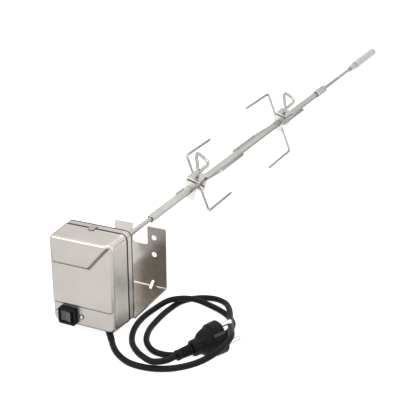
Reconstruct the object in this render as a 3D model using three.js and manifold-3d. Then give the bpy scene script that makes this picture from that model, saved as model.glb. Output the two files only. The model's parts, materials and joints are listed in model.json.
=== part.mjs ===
// Rotisserie spit roaster: geared motor box on a folded hanging bracket, with a
// plug-in mains lead, and a spit carrying two clamp-on forks and a screw-on handle.
// Millimetres, +Z up. +Y runs along the spit, away from the motor. The origin is on
// the outer face of the bracket's far plate, on the centre plane of its notch.
import * as THREE from 'three';
import { mergeGeometries, mergeVertices } from 'three/addons/utils/BufferGeometryUtils.js';
import Module from 'manifold-3d';

const wasm = await Module();
wasm.setup();

const radians = THREE.MathUtils.degToRad;

// ---------------------------------------------------------------- driving dimensions
const GAP = 0.3;                       // air between neighbouring parts
const SPIT_Z = 45.5;                   // height of the spit axis
const BASE_Z = -26;                    // underside of the box and the bracket

const BRACKET = { width: 65.2, sheet: 1.5, length: 77, farTop: 48, nearTop: 68 };
const NOTCH = { half: 9.45, bottom: 25.5, corner: 3 };
const EAR_HOLE = { x: 17.5, heights: [35.3, 14.8], r: 3.1 };
const BOLTS = [[-24, 60], [24, 60], [-24, -14], [24, -14]];
const BOLT_R = 2;
const DRIVE_HOLE_R = 7.7;              // the hole in each plate round the drive socket

const BOX = { cx: -5.25, width: 76.5, height: 102.6, corner: 7, wall: 1.2, edge: 3.5 };
const BOX_CZ = BASE_Z + BOX.height / 2;
const BOX_Y = { front: -115.2, rear: -87.8, casingFront: -86, casingRear: -77.3 };
const BOX_DRAFT = 0.02;                // how far the cover narrows towards its front
const PANEL = { y: -116.2, right: 33, bottom: -2 };
const PLAQUE = { y: -119.2, top: 73.5, left: -40, waist: 45.5, cornerX: 5, right: 29.5, edge: 1.6 };

const SWITCH = { x: -23.4, z: -14, width: 21.5, height: 19.5, chamfer: 2.5 };
const SWITCH_SCREWS = { left: -36.7, right: -8 };
const SWITCH_SCREW = { z: -13.3, r: 1.4, holeR: 1.7 };
const ROCKER = { pivotY: -112.5, half: 6.3, height: 11.5, restTilt: -8 };

const MODULE = 0.8;                    // gear module
const OUTPUT = { x: 0, z: SPIT_Z, teeth: 48 };
const IDLER = { x: 12, z: 24.7, small: 12, large: 40 };
const MOTOR = { x: 4, z: 5.5, teeth: 12, canR: 19.5 };
const PLANE_A = [-84, -81];            // output gear and the idler's small gear
const PLANE_B = [-90, -86.5];          // idler's large gear and the motor pinion
const PLATE_FRONT = [-93.6, -92.4];
const PLATE_BACK = [-80.4, -79.2];
const AXLE_R = 1.5;
const BUSH = { r: 7.4, bore: 5.3 };
const STANDOFFS = [[-15, 66.5], [15, 66.5], [-20, 6]];

const ROD_R = 2.6;
const ROD = { tip: -90, round: -70.5, end: 811, grooves: [726, 753.5] };
const ROD_BORE = ROD_R + GAP;
const TUBE = { size: 7.2, bore: 5.8, start: 23, end: 601 };
const SPIT_TWIST = 16;                 // degrees that the square tube is turned about Y
const SLEEVE = { flats: 10.5, start: 603, end: 647 };
const FERRULE = { r: 5.25, start: 797, end: 830.7, boreEnd: 815 };
const GRIP = { r: 6.75, start: 831, end: 955 };

const FORKS = [
  { name: 'fork_1', y: 140, wireY: 9, reach: 38, tine: 73, way: 1, loopTurn: -26 },
  { name: 'fork_2', y: 445, wireY: -12, reach: 46, tine: 88, way: -1, loopTurn: -30 },
];
const CLAMP = { half: 8.3, low: -11.5, high: 11.2, length: 31, sheet: 1.5 };
const TOP_PLATE = { half: 8.6, length: 27, low: 12.2, high: 14.2 };
const WIRE_R = 1.6;
const TINE_SPREAD = 40;                // degrees each tine stands from the clamp's upright
const SCREW_WIRE_R = 2.1;
const LEAD_R = 0.8;                    // the three inner leads

const GLAND = { x: 13, y: -98, axisZ: -30.1, length: 26, r0: 3.75, r1: 3.5 };
const GLAND_WAY = new THREE.Vector2(0.623, -0.782);
const CORD_R = 3.25;
const PLUG_FACE = new THREE.Vector3(136.7, -84.9, -15.7);
const PLUG_AXIS = new THREE.Vector3(0.522, 0.846, 0.11).normalize();
const PLUG_TURN = radians(45);          // how far the pins stand turned about the plug's axis
const PLUG = { body: 34.5, relief: 52.8, pinReach: 19, pinR: 2.4, pinHalf: 9.5, flat: 15.2 };
const CORD_ROUTE = [
  [29.4, -118.5, -30.2], [36, -126.8, -30.6], [48, -138, -30.7], [67, -147.5, -30.7],
  [91, -147, -30.5], [115, -141, -27], [137, -131.5, -19], [150.5, -116, -10.5],
  [153, -97, -7], [145.5, -77.5, -11], [136, -58, -17], [127, -38, -21],
  [118, -19, -23.3], [105, -1, -26.5], [88, 7.5, -29], [70, 4, -30.5],
  [57, -10, -30.7], [52, -35, -30.7], [51.5, -60, -30.7], [54, -84, -30.7],
  [63, -105, -30.7], [79, -118, -30.7], [97, -117, -30.7], [111, -103.5, -30.7],
  [120.5, -78, -30.7], [130, -54, -30.7], [128, -33, -30.7], [113, -17, -30.7],
  [91, -9, -29], [69, -12, -24], [49, -25, -24], [38, -43, -29.3],
  [35, -65, -30.7], [39, -89, -30.7], [49, -111, -29.5], [63, -129, -26],
  [78, -141.5, -23.3], [92, -146.5, -22.8], [102.8, -140.2, -22.4], [108.9, -130.1, -21.6],
];

const STEEL = { color: 0xc8c5bf, roughness: 0.35, metalness: 0.9 };
const BRIGHT_STEEL = { color: 0xdad8d2, roughness: 0.25, metalness: 0.95 };
const COVER_STEEL = { color: 0xccc6bf, roughness: 0.4, metalness: 0.9 };
const BLACK_PLASTIC = { color: 0x1c1c1c, roughness: 0.5, metalness: 0 };
const GREY_PLASTIC = { color: 0x6e7072, roughness: 0.5, metalness: 0 };
const GEAR_PLASTIC = { color: 0xe9e6da, roughness: 0.5, metalness: 0 };
const CORD_RUBBER = { color: 0x323232, roughness: 0.6, metalness: 0 };
const HANDLE = { color: 0xcfcfcd, roughness: 0.45, metalness: 0.1 };
const BRASS = { color: 0xc9a24a, roughness: 0.35, metalness: 0.9 };

// ---------------------------------------------------------------- helpers
const group = new THREE.Group();

function addMesh(name, geometry, look, parent = group) {
  const mesh = new THREE.Mesh(geometry, new THREE.MeshStandardMaterial(look));
  mesh.name = name;
  parent.add(mesh);
  return mesh;
}

function solid(geometry) {
  const bare = geometry.clone();
  for (const name of Object.keys(bare.attributes)) {
    if (name !== 'position') bare.deleteAttribute(name);
  }
  const merged = mergeVertices(bare, 1e-4);
  return new wasm.Manifold(new wasm.Mesh({
    numProp: 3,
    vertProperties: new Float32Array(merged.attributes.position.array),
    triVerts: new Uint32Array(merged.index.array),
  }));
}

function geometryOf(body) {
  const mesh = body.getMesh();
  const geometry = new THREE.BufferGeometry();
  geometry.setAttribute('position', new THREE.BufferAttribute(mesh.vertProperties, 3));
  geometry.setIndex(new THREE.BufferAttribute(mesh.triVerts, 1));
  const faceted = geometry.toNonIndexed();
  faceted.computeVertexNormals();
  return faceted;
}

const join = (...parts) => geometryOf(parts.map(solid).reduce((sum, one) => sum.add(one)));

function cut(base, ...tools) {
  return geometryOf(tools.map(solid).reduce((rest, one) => rest.subtract(one), solid(base)));
}

const common = (a, b) => geometryOf(solid(a).intersect(solid(b)));

// A block from its low and high corners.
function block(low, high) {
  const size = high.map((value, i) => value - low[i]);
  const centre = high.map((value, i) => (value + low[i]) / 2);
  return new THREE.BoxGeometry(...size).translate(...centre);
}

// A round bar along Y.
function barY(r, y0, y1, x = 0, z = 0, sides = 16) {
  return new THREE.CylinderGeometry(r, r, y1 - y0, sides).translate(x, (y0 + y1) / 2, z);
}

// A round bar along Z.
function barZ(r, z0, z1, x = 0, y = 0, sides = 16) {
  const bar = new THREE.CylinderGeometry(r, r, z1 - z0, sides).rotateX(Math.PI / 2);
  return bar.translate(x, y, (z0 + z1) / 2);
}

// An outline drawn in X and Z, as a plate from y0 to y1.
function plateY(shape, y0, y1, extra = {}) {
  const options = { depth: y1 - y0, bevelEnabled: false, curveSegments: 4, ...extra };
  return new THREE.ExtrudeGeometry(shape, options).rotateX(Math.PI / 2).translate(0, y1, 0);
}

function roundedRect(cx, cz, width, height, r) {
  const shape = new THREE.Shape();
  const [x, z] = [width / 2, height / 2];
  shape.absarc(cx + x - r, cz + z - r, r, 0, Math.PI / 2);
  shape.absarc(cx - x + r, cz + z - r, r, Math.PI / 2, Math.PI);
  shape.absarc(cx - x + r, cz - z + r, r, Math.PI, 1.5 * Math.PI);
  shape.absarc(cx + x - r, cz - z + r, r, 1.5 * Math.PI, 2 * Math.PI);
  return shape;
}

function polygon(points) {
  return new THREE.Shape(points.map(([x, y]) => new THREE.Vector2(x, y)));
}

function circleShape(r, sides) {
  const corner = (i) => 2 * Math.PI * (i + 0.5) / sides;
  return polygon(Array.from({ length: sides }, (_, i) => [
    r * Math.cos(corner(i)), r * Math.sin(corner(i))]));
}

// A round wire along a smooth curve through the points.
function wire(points, r, steps, sides = 8) {
  const path = new THREE.CatmullRomCurve3(points.map((p) => new THREE.Vector3(...p)));
  return new THREE.ExtrudeGeometry(circleShape(r, sides), { steps, extrudePath: path });
}

// The route through corner points, with each inner corner rounded off.
function roundCorners(corners, radius) {
  const at = corners.map((p) => new THREE.Vector3(...p));
  const route = [at[0], at[0].clone().lerp(at[1], 0.5)];
  for (let i = 1; i < at.length - 1; i += 1) {
    const before = at[i - 1].clone().sub(at[i]).setLength(radius).add(at[i]);
    const after = at[i + 1].clone().sub(at[i]).setLength(radius).add(at[i]);
    const middle = before.clone().add(after).multiplyScalar(0.5).lerp(at[i], 0.45);
    route.push(before, middle, after);
    route.push(at[i].clone().lerp(at[i + 1], 0.5));
  }
  route.push(at.at(-1));
  return route.map((p) => p.toArray());
}

function gearShape(teeth, phase) {
  const pitch = MODULE * teeth / 2;
  const [tip, root] = [pitch + 0.85 * MODULE, pitch - 1.2 * MODULE];
  const step = 2 * Math.PI / teeth;
  const corners = [];
  for (let i = 0; i < teeth; i += 1) {
    const middle = phase + i * step;
    for (const [r, share] of [[root, -0.31], [tip, -0.13], [tip, 0.13], [root, 0.31]]) {
      const angle = middle + share * step;
      corners.push([r * Math.cos(angle), r * Math.sin(angle)]);
    }
  }
  return polygon(corners);
}

const direction = (from, to) => Math.atan2(to.z - from.z, to.x - from.x);

function gear(teeth, phase, [y0, y1], at) {
  return plateY(gearShape(teeth, phase), y0, y1).translate(at.x, 0, at.z);
}

// ---------------------------------------------------------------- motor box
// A box-shaped block with rounded upright corners and a softened front edge.
function coverBlock(inset, front, rear) {
  const edge = BOX.edge - inset;
  const [width, height] = [BOX.width - 2 * (inset + edge), BOX.height - 2 * (inset + edge)];
  const outline = roundedRect(BOX.cx, BOX_CZ, width, height, BOX.corner - inset - edge);
  const bevel = {
    bevelEnabled: true, bevelSize: edge, bevelThickness: edge, bevelSegments: 3, curveSegments: 3,
  };
  const whole = plateY(outline, front + edge, rear + edge, bevel);
  const place = whole.attributes.position;
  const depth = BOX_Y.rear - BOX_Y.front;
  for (let i = 0; i < place.count; i += 1) {
    const share = Math.max(0, (BOX_Y.rear - place.getY(i)) / depth);
    const scale = 1 - BOX_DRAFT * share;
    place.setX(i, BOX.cx + (place.getX(i) - BOX.cx) * scale);
    place.setZ(i, BOX_CZ + (place.getZ(i) - BOX_CZ) * scale);
  }
  const reach = 80;
  const keep = block([-reach, front - 1, -reach], [reach, rear, 2 * reach]);
  return common(whole, keep);
}

function frontCover() {
  const panel = polygon([
    [-40, PANEL.bottom], [PANEL.right - 2, PANEL.bottom], [PANEL.right, 2], [PANEL.right, 58],
    [28, 72], [-40, 72]]);
  const plaque = polygon([
    [PLAQUE.left + 1, PLAQUE.waist], [PLAQUE.cornerX, PLAQUE.waist],
    [PLAQUE.right, PLAQUE.top], [PLAQUE.left - 1, PLAQUE.top]]);
  const softened = {
    bevelEnabled: true, bevelSize: 0.9, bevelThickness: PLAQUE.edge, bevelSegments: 1,
  };
  const outer = join(
    coverBlock(0, BOX_Y.front, BOX_Y.rear),
    plateY(panel, PANEL.y, BOX_Y.front + 0.5),
    plateY(plaque, PLAQUE.y + PLAQUE.edge, BOX_Y.front - 1.2, softened));
  const [sx, sz] = [SWITCH.x, SWITCH.z];
  return cut(
    outer,
    coverBlock(BOX.wall, BOX_Y.front + BOX.wall, BOX_Y.rear + 1),
    block([sx - 9.6, -119, sz - 8.6], [sx + 9.6, -110, sz + 8.6]),
    ...Object.values(SWITCH_SCREWS).map((x) => barY(SWITCH_SCREW.holeR, -119, -110, x, SWITCH_SCREW.z, 12)),
    barZ(4.7, BASE_Z - 2, BASE_Z + 4, GLAND.x, GLAND.y));
}

function backCasing() {
  const { casingFront, casingRear } = BOX_Y;
  const outline = (inset) => roundedRect(
    BOX.cx, BOX_CZ, BOX.width - 2 * inset, BOX.height - 2 * inset, BOX.corner - inset);
  return cut(
    plateY(outline(0), casingFront, casingRear),
    plateY(outline(BOX.wall), casingFront - 1, casingRear - BOX.wall),
    barY(DRIVE_HOLE_R, -82, -70, OUTPUT.x, OUTPUT.z),
    ...BOLTS.map(([x, z]) => barY(BOLT_R + GAP, -82, -70, x, z, 12)));
}

function coverGasket() {
  const ring = (inset) => roundedRect(
    BOX.cx, BOX_CZ, BOX.width - 2 * inset, BOX.height - 2 * inset, BOX.corner - inset);
  return cut(plateY(ring(0.4), -87.5, -86.3), plateY(ring(3), -90, -80));
}

function addMotorBox() {
  addMesh('front_cover', frontCover(), COVER_STEEL);
  addMesh('cover_gasket', coverGasket(), BLACK_PLASTIC);
  addMesh('back_casing', backCasing(), COVER_STEEL);
  const [x0, x1] = [-10.5, -3.8];
  const top = BASE_Z + BOX.height;
  addMesh('cover_clip_top', block([x0, -92, top + GAP], [x1, -82, top + 1.1]), STEEL);
  addMesh('cover_clip_bottom', block([x0, -92, BASE_Z - 1.1], [x1, -82, BASE_Z - GAP]), STEEL);
}

function addSwitch() {
  const { x, z, width, height, chamfer } = SWITCH;
  const [w, h] = [width / 2, height / 2];
  const flange = polygon([
    [x - w, z - h], [x + w - chamfer, z - h], [x + w, z - h + chamfer], [x + w, z + h],
    [x - w + chamfer, z + h], [x - w, z + h - chamfer]]);
  const bezel = join(
    plateY(flange, -120.4, BOX_Y.front - GAP),
    block([x - 9.3, -116, z - 8.3], [x + 9.3, -105, z + 8.3]));
  addMesh('switch_bezel', cut(bezel, block([x - 8, -125, z - 6.2], [x + 8, -106.5, z + 6.2])),
    BLACK_PLASTIC);
  for (const [side, sx] of Object.entries(SWITCH_SCREWS)) {
    const head = new THREE.LatheGeometry([
      [0, -112], [SWITCH_SCREW.r, -112], [SWITCH_SCREW.r, -115.5], [2.2, -115.5], [1.9, -116.4], [0, -116.8],
    ].map(([r, y]) => new THREE.Vector2(r, y)).reverse(), 12);
    addMesh(`switch_screw_${side}`, head.translate(sx, 0, SWITCH_SCREW.z), BRIGHT_STEEL);
  }
  const side = polygon([
    [-ROCKER.half, -8.2], [0, -7], [ROCKER.half, -8.2], [5, 1.5], [-5, 1.5]]);
  const rocker = new THREE.ExtrudeGeometry(side, { depth: ROCKER.height, bevelEnabled: false });
  const mesh = addMesh('rocker_switch', rocker.translate(0, 0, -ROCKER.height / 2), GREY_PLASTIC);
  mesh.position.set(x, ROCKER.pivotY, z);
  mesh.rotation.z = radians(ROCKER.restTilt);
}

// ---------------------------------------------------------------- gear train
function addGearPlates() {
  const outline = roundedRect(1.75, 33.5, 57, 73, 5);
  const boltHoles = BOLTS.slice(0, 2).map(([x, z]) => barY(BOLT_R + GAP, -100, -70, x, z, 12));
  const axleHole = barY(AXLE_R + GAP, -100, -70, IDLER.x, IDLER.z, 12);
  addMesh('gear_plate_front', cut(
    plateY(outline, ...PLATE_FRONT), axleHole,
    barY(2.6, -100, -70, MOTOR.x, MOTOR.z, 12)), STEEL);
  addMesh('gear_plate_back', cut(
    plateY(outline, ...PLATE_BACK), axleHole, ...boltHoles,
    barY(DRIVE_HOLE_R, -100, -70, OUTPUT.x, OUTPUT.z)), STEEL);
  STANDOFFS.forEach(([x, z], i) => {
    const post = barY(2.5, PLATE_FRONT[1] + GAP, PLATE_BACK[0] - GAP, x, z, 12);
    addMesh(`standoff_${i + 1}`, post, BRASS);
  });
}

function addGears() {
  const toIdler = direction(OUTPUT, IDLER);
  const toMotor = direction(IDLER, MOTOR);
  addMesh('output_gear', cut(
    gear(OUTPUT.teeth, toIdler, PLANE_A, OUTPUT),
    barY(BUSH.bore, -95, -75, OUTPUT.x, OUTPUT.z)), GEAR_PLASTIC);
  const smallPhase = toIdler + Math.PI + Math.PI / IDLER.small;
  addMesh('compound_gear', cut(
    join(
      gear(IDLER.small, smallPhase, [PLANE_B[1] - 1, PLANE_A[1]], IDLER),
      gear(IDLER.large, toMotor, PLANE_B, IDLER)),
    barY(AXLE_R + GAP, -95, -75, IDLER.x, IDLER.z, 12)), GEAR_PLASTIC);
  addMesh('idler_axle', barY(AXLE_R, -93.4, -79.4, IDLER.x, IDLER.z, 12), STEEL);
  const pinionPhase = toMotor + Math.PI + Math.PI / MOTOR.teeth;
  addMesh('motor_pinion', join(
    gear(MOTOR.teeth, pinionPhase, PLANE_B, MOTOR),
    barY(AXLE_R, -93.6, PLANE_B[0] + 1, MOTOR.x, MOTOR.z, 12)), BRASS);
  addMesh('motor_can', barY(MOTOR.canR, -112, -93.9, MOTOR.x, MOTOR.z, 28), STEEL);
}

function addDrive() {
  const socket = new THREE.LatheGeometry([
    [0, -72], [8, -72], [8, -75.2], [5, -75.2], [5, -92], [0, -92],
  ].map(([r, y]) => new THREE.Vector2(r, y)).reverse(), 20);
  const slot = block([-2.9, -91, -2.2], [2.9, -70, 2.2]);
  addMesh('drive_socket', cut(socket, slot).translate(0, 0, SPIT_Z), STEEL);
  addMesh('output_bush', cut(
    barY(BUSH.r, -80.2, -75.5, 0, SPIT_Z, 20), barY(BUSH.bore, -90, -70, 0, SPIT_Z, 20)), BRASS);
}

function addLeads() {
  const routes = {
    live_lead: [[11, -98, -21], [4, -100, -20.5], [-8, -101, -19.5], [-18, -103.5, -15]],
    neutral_lead: [[13.5, -98, -21], [19, -100, -18], [27, -101, -8], [24.8, -101, 3]],
    earth_lead: [[15.5, -95.5, -21], [19, -93, -21], [23, -89, -20], [24, -83, -18.5]],
  };
  const colours = { live_lead: 0x6b3a1e, neutral_lead: 0x2f5fa8, earth_lead: 0x6f9a2e };
  for (const [name, route] of Object.entries(routes)) {
    const look = { color: colours[name], roughness: 0.6, metalness: 0 };
    addMesh(name, wire(route, LEAD_R, 10, 6), look);
  }
}

// ---------------------------------------------------------------- bracket
function bracketBody() {
  const { width, sheet, length, farTop, nearTop } = BRACKET;
  const half = width / 2;
  const bend = 3;
  const plate = (top, corner) => {
    const shape = new THREE.Shape();
    shape.moveTo(-half, BASE_Z + bend);
    shape.lineTo(half, BASE_Z + bend);
    shape.absarc(half - corner, top - corner, corner, 0, Math.PI / 2);
    shape.absarc(corner - half, top - corner, corner, Math.PI / 2, Math.PI);
    return shape;
  };
  const profile = new THREE.Shape();
  profile.moveTo(0, BASE_Z + bend + 0.5);
  profile.absarc(-bend, BASE_Z + bend, bend, 0, -Math.PI / 2, true);
  profile.absarc(-length + bend, BASE_Z + bend, bend, -Math.PI / 2, -Math.PI, true);
  profile.lineTo(-length, BASE_Z + bend + 0.5);
  profile.lineTo(-length + sheet, BASE_Z + bend + 0.5);
  profile.absarc(-length + bend, BASE_Z + bend, bend - sheet, Math.PI, 1.5 * Math.PI, false);
  profile.absarc(-bend, BASE_Z + bend, bend - sheet, 1.5 * Math.PI, 2 * Math.PI, false);
  profile.lineTo(-sheet, BASE_Z + bend + 0.5);
  const turn = new THREE.Matrix4().makeBasis(
    new THREE.Vector3(0, 1, 0), new THREE.Vector3(0, 0, 1), new THREE.Vector3(1, 0, 0));
  const alongX = (shape, x0, x1) => new THREE.ExtrudeGeometry(
    shape, { depth: x1 - x0, bevelEnabled: false, curveSegments: 4 },
  ).applyMatrix4(turn).translate(x0, 0, 0);
  const dart = polygon([
    [-sheet + 0.3, BASE_Z + sheet - 0.3], [-sheet + 0.3, BASE_Z + 11], [-11, BASE_Z + sheet - 0.3]]);
  return join(
    alongX(profile, -half, half),
    plateY(plate(farTop, 3), -sheet, 0),
    plateY(plate(nearTop, 8), -length, -length + sheet),
    ...[-15, 15].map((x) => alongX(dart, x - 2.2, x + 2.2)));
}

function addBracket() {
  const { half, bottom, corner } = NOTCH;
  const notch = roundedRect(0, bottom + 30, 2 * half, 60, corner);
  const earHoles = [-EAR_HOLE.x, EAR_HOLE.x].flatMap((x) => EAR_HOLE.heights.map(
    (z) => barY(EAR_HOLE.r, -5, 5, x, z, 16)));
  addMesh('bracket', cut(
    bracketBody(), plateY(notch, -5, 5), ...earHoles,
    barY(DRIVE_HOLE_R, -80, -70, 0, SPIT_Z),
    ...BOLTS.map(([x, z]) => barY(BOLT_R + GAP, -80, -70, x, z, 12))), STEEL);
  BOLTS.forEach(([x, z], i) => {
    const nutFront = i < 2 ? PLATE_BACK[0] - GAP : BOX_Y.casingRear - BOX.wall - GAP;
    const bolt = join(
      barY(BOLT_R, nutFront - 4, -74, x, z, 12),
      barY(3.8, -75.2, -72.4, x, z, 12),
      barY(3.6, nutFront - 3, nutFront, x, z, 6));
    addMesh(`bracket_bolt_${i + 1}`, bolt, BRIGHT_STEEL);
  });
}

// ---------------------------------------------------------------- spit
function addSpit() {
  const profile = [[0, ROD.round], [ROD_R, ROD.round]];
  for (const y of ROD.grooves) {
    profile.push([ROD_R, y - 2], [1.8, y - 2], [1.8, y + 2], [ROD_R, y + 2]);
  }
  profile.push([ROD_R, ROD.end - 1], [ROD_R - 1, ROD.end], [0, ROD.end]);
  const bar = new THREE.LatheGeometry(profile.map(([r, y]) => new THREE.Vector2(r, y)), 16);
  const tip = common(
    barY(ROD_R, ROD.tip, ROD.round + 1, 0, 0),
    block([-5, ROD.tip - 1, -1.8], [5, ROD.round + 2, 1.8]));
  addMesh('spit_rod', join(bar, tip).translate(0, 0, SPIT_Z), BRIGHT_STEEL);

  const half = TUBE.size / 2;
  const bore = TUBE.bore / 2;
  const tube = cut(
    block([-half, TUBE.start, -half], [half, TUBE.end, half]),
    block([-bore, TUBE.start - 1, -bore], [bore, TUBE.end + 1, bore]));
  tube.rotateY(radians(SPIT_TWIST)).translate(0, 0, SPIT_Z);
  addMesh('spit_tube', tube, BRIGHT_STEEL);

  const boreBar = (y0, y1) => barY(ROD_BORE, y0, y1);
  addMesh('end_ring', cut(
    barY(4.6, TUBE.end + GAP, SLEEVE.start - GAP), boreBar(590, 610),
  ).translate(0, 0, SPIT_Z), BLACK_PLASTIC);
  const hexR = SLEEVE.flats / Math.sqrt(3);
  addMesh('coupling_sleeve', cut(
    barY(hexR, SLEEVE.start, SLEEVE.end, 0, 0, 6), boreBar(600, 650),
  ).translate(0, 0, SPIT_Z), BRIGHT_STEEL);
}

function addHandle() {
  const { r, start, end, boreEnd } = FERRULE;
  addMesh('handle_ferrule', cut(
    barY(r, start, end, 0, 0, 20), barY(ROD_BORE, start - 1, boreEnd),
  ).translate(0, 0, SPIT_Z), STEEL);
  const profile = [[0, GRIP.start], [GRIP.r - 0.6, GRIP.start], [GRIP.r, GRIP.start + 0.6]];
  for (let i = 0; i <= 5; i += 1) {
    const angle = i / 5 * Math.PI / 2;
    profile.push([GRIP.r * Math.cos(angle), GRIP.end - GRIP.r + GRIP.r * Math.sin(angle)]);
  }
  profile.at(-1)[0] = 0;
  const grip = new THREE.LatheGeometry(profile.map(([x, y]) => new THREE.Vector2(x, y)), 20);
  addMesh('handle_grip', grip.translate(0, 0, SPIT_Z), HANDLE);
}

// ---------------------------------------------------------------- forks
// Each fork is drawn round its clamp's centre, upright, then turned with the tube.
function clampCheeks(fork) {
  const { half, low, high, length, sheet } = CLAMP;
  const end = length / 2;
  const hole = TUBE.size / 2 + GAP;
  return cut(
    block([-half, -end, low], [half, end, high]),
    block([-half + sheet, -end + sheet, low - 1], [half + 1, end - sheet, high + 1]),
    block([-hole, -end - 1, -hole], [hole, end + 1, hole]),
    block([-half - 1, fork.wireY - 2, 4.2], [-half + 2, fork.wireY + 2, high + 1]),
    block([-half - 1, fork.wireY - 2, low - 1], [-half + 2, fork.wireY + 2, -4.2]));
}

// One wire bent into two tines and the bar that joins them; side is +1 above the tube.
function tinePair(fork, side) {
  const across = 6.2;
  const height = 5.6;
  const angle = radians(90 - TINE_SPREAD);
  const x = fork.reach * Math.cos(angle);
  const z = fork.reach * Math.sin(angle);
  const tip = fork.wireY + fork.way * fork.tine;
  const corners = [
    [-x, tip, side * z], [-x, fork.wireY, side * z], [-across, fork.wireY, side * height],
    [across, fork.wireY, side * height], [x, fork.wireY, side * z], [x, tip, side * z]];
  return wire(roundCorners(corners, 4.5), WIRE_R, Math.round(fork.tine * 0.6), 8);
}

function thumbscrew(fork) {
  const halfLoop = (way) => wire([
    [0, 0, 19.5], [-3.2, 0, 23.5], [-7.5, 0, 30], [-11.5, 0, 36], [-11, 0, 39.4], [-7, 0, 40.8],
    [0, 0, 41], [1.5, 0, 41],
  ].map(([x, y, z]) => [way * x, y, z]), SCREW_WIRE_R, 14, 8);
  const shaft = barZ(SCREW_WIRE_R, TUBE.size / 2 + GAP, 22.5, 0, 0, 12);
  return join(shaft, halfLoop(1), halfLoop(-1)).rotateZ(radians(fork.loopTurn));
}

function addFork(fork) {
  const { half, length, low, high } = TOP_PLATE;
  const carrier = new THREE.Group();
  carrier.position.set(0, fork.y, SPIT_Z);
  carrier.rotation.y = radians(SPIT_TWIST);
  group.add(carrier);
  const add = (name, geometry, look) => addMesh(`${fork.name}_${name}`, geometry, look, carrier);
  add('clamp_cheeks', clampCheeks(fork), BRIGHT_STEEL);
  add('top_plate', cut(
    block([-half, -length / 2, low], [half, length / 2, high]),
    barZ(SCREW_WIRE_R + GAP, 10, 20, 0, 0, 12)), BRIGHT_STEEL);
  add('upper_tines', tinePair(fork, 1), BRIGHT_STEEL);
  add('lower_tines', tinePair(fork, -1), BRIGHT_STEEL);
  add('thumbscrew', thumbscrew(fork), BRIGHT_STEEL);
}

// ---------------------------------------------------------------- mains lead
function cordGland() {
  const { x, y, axisZ, length, r0, r1 } = GLAND;
  const stem = join(
    barZ(4.4, axisZ, BASE_Z + 3.5, x, y, 16),
    barZ(7, BASE_Z + 2.2, BASE_Z + 3.8, x, y, 6));
  const snout = new THREE.CylinderGeometry(r1, r0, length, 12).translate(0, length / 2, 0);
  const way = new THREE.Vector3(GLAND_WAY.x, GLAND_WAY.y, 0).normalize();
  snout.applyQuaternion(new THREE.Quaternion().setFromUnitVectors(new THREE.Vector3(0, 1, 0), way));
  snout.translate(x, y, axisZ);
  return join(stem, snout);
}

// Stands a solid drawn along +Y, with its face at y = 0, where the plug lies.
function layPlug(geometry) {
  const side = new THREE.Vector3().crossVectors(PLUG_AXIS, new THREE.Vector3(0, 0, 1)).normalize();
  const up = new THREE.Vector3().crossVectors(side, PLUG_AXIS);
  const place = new THREE.Matrix4().makeBasis(side, PLUG_AXIS, up).setPosition(PLUG_FACE);
  return geometry.applyMatrix4(place);
}

function addPlug() {
  const profile = [
    [0, -PLUG.body], [7, -PLUG.body], [8.3, -33], [14.3, -20], [17, -5], [17.4, -1], [16.8, 0], [0, 0]];
  const body = new THREE.LatheGeometry(profile.map(([r, y]) => new THREE.Vector2(r, y)), 24);
  const flats = block([-PLUG.flat, -PLUG.body - 1, -20], [PLUG.flat, 1, 20]);
  const pinAt = [-PLUG.pinHalf, PLUG.pinHalf];
  const shaped = cut(
    common(body, flats), ...pinAt.map((z) => barY(PLUG.pinR + GAP, -6, 1, 0, z, 12)));
  addMesh('plug_body', layPlug(shaped.rotateY(-PLUG_TURN)), BLACK_PLASTIC);
  const pinNames = { upper: PLUG.pinHalf, lower: -PLUG.pinHalf };
  for (const [name, z] of Object.entries(pinNames)) {
    const pin = new THREE.LatheGeometry([
      [0, -5.7], [PLUG.pinR, -5.7], [PLUG.pinR, PLUG.pinReach - 2], [1.4, PLUG.pinReach],
      [0, PLUG.pinReach],
    ].map(([r, y]) => new THREE.Vector2(r, y)), 12).translate(0, 0, z);
    addMesh(`plug_pin_${name}`, layPlug(pin.rotateY(-PLUG_TURN)), BRIGHT_STEEL);
  }
  const clipNames = { upper: 1, lower: -1 };
  for (const [name, way] of Object.entries(clipNames)) {
    const clip = block([0, -14, -2.5], [0.8, -0.5, 2.5]);
    clip.translate(way > 0 ? PLUG.flat + GAP : -PLUG.flat - GAP - 0.8, 0, 0);
    addMesh(`earth_clip_${name}`, layPlug(clip.rotateY(-PLUG_TURN)), BRIGHT_STEEL);
  }
  const relief = [[0, -PLUG.relief], [4.4, -PLUG.relief]];
  for (let i = 0; i < 5; i += 1) {
    const y = -PLUG.relief + 3.4 * i;
    const r = 4.7 + 0.22 * i;
    relief.push([r, y + 0.2], [r, y + 2.2], [r - 0.8, y + 2.4], [r - 0.8, y + 3.2]);
  }
  relief.push([5.8, -PLUG.body - GAP], [0, -PLUG.body - GAP]);
  const boot = new THREE.LatheGeometry(relief.map(([r, y]) => new THREE.Vector2(r, y)), 14);
  addMesh('plug_strain_relief', layPlug(boot), BLACK_PLASTIC);
}

function addLead() {
  addMesh('cord_gland', cordGland(), BLACK_PLASTIC);
  addMesh('mains_cord', wire(CORD_ROUTE, CORD_R, 80, 8), CORD_RUBBER);
}

// ---------------------------------------------------------------- assembly
addMotorBox();
addSwitch();
addGearPlates();
addGears();
addDrive();
addLeads();
addBracket();
addSpit();
addHandle();
FORKS.forEach(addFork);
addLead();
addPlug();

export default group;
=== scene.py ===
"""Looks of the rotisserie spit roaster: detailed pieces, materials, light and camera.

Pieces are drawn in millimetres in the CAD frame and scaled to metres when they are made.
"""
import json
import math

import bmesh
import bpy
from mathutils import Matrix, Quaternion, Vector


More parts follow.
